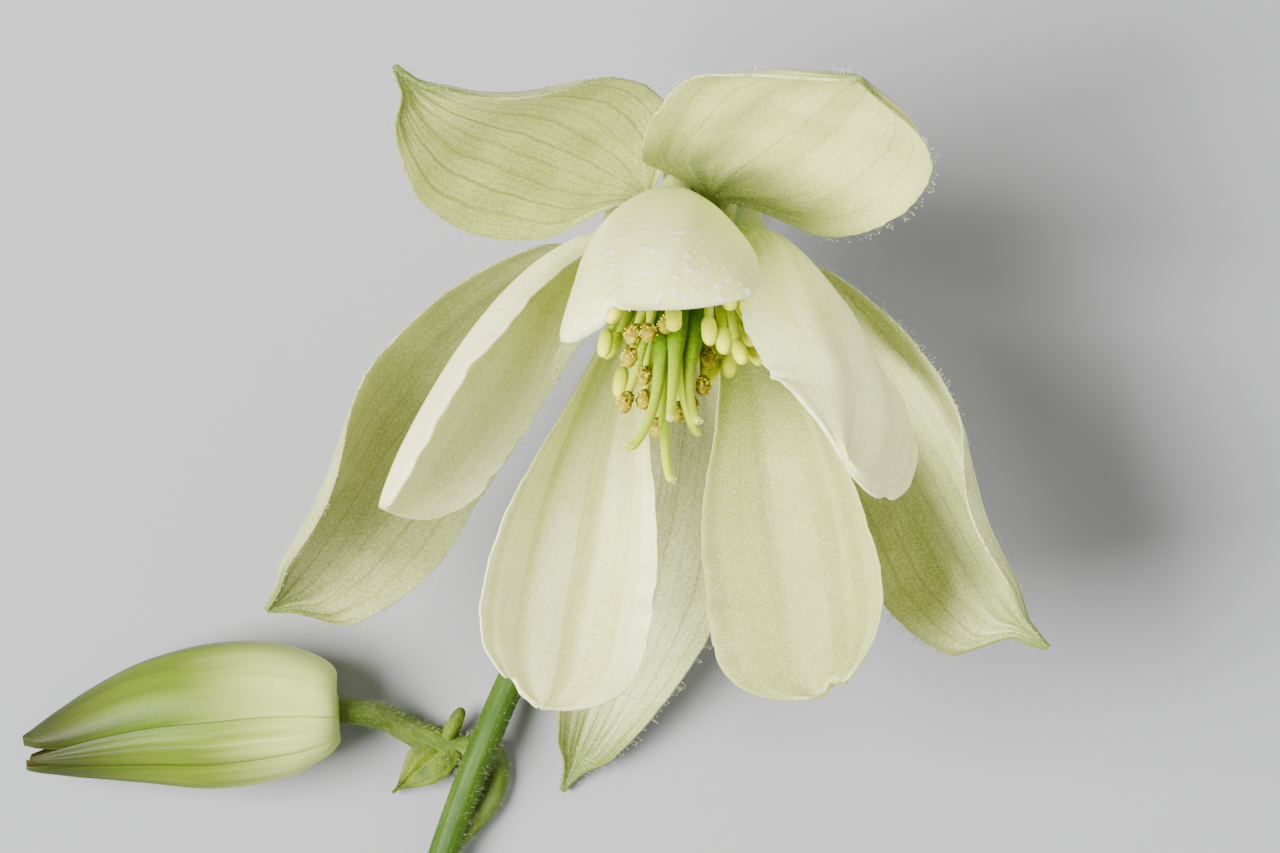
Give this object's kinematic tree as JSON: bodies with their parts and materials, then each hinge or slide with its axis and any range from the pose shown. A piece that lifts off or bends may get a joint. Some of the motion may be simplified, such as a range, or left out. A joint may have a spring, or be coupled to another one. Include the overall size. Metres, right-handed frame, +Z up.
{
  "type": "columbine flower spray",
  "caption": "Cut spray of white columbine lying face up: an open spurred flower on a curved stalk, with a closed green bud on a side branch.",
  "frame": {"origin": "middle of the spray in plan, on the surface it lies on", "axes": "+Z up from the surface, +Y away from the stalk's cut end, +X to the right of the face-up flower"},
  "size_m": [0.0528, 0.0522, 0.0326],
  "materials": {
    "stalk": "satin green with fine hairs",
    "sepal": "soft cream-white, green at claw and tip",
    "petal": "soft white with a fine sparkle",
    "fresh_anther": "pale yellow, smooth",
    "spent_anther": "brownish yellow, dry",
    "carpel": "fresh green, satin",
    "bract": "yellow-green, satin",
    "bud": "light green, satin"
  },
  "bodies": {
    "root": {"stem": "stalk", "sepal_upper_left": "sepal", "sepal_upper_right": "sepal", "sepal_lower_left": "sepal", "sepal_lower_right": "sepal", "sepal_bottom": "sepal", "petal_top": "petal", "petal_left": "petal", "petal_right": "petal", "petal_lower_left": "petal", "petal_lower_right": "petal", "stamens_fresh": "fresh_anther", "stamens_spent": "spent_anther", "carpels": "carpel", "bract_lower": "bract", "bract_upper": "bract", "bud_sepal_1": "bud", "bud_sepal_2": "bud", "bud_sepal_3": "bud", "bud_sepal_4": "bud", "bud_sepal_5": "bud"}
  },
  "joints": []
}
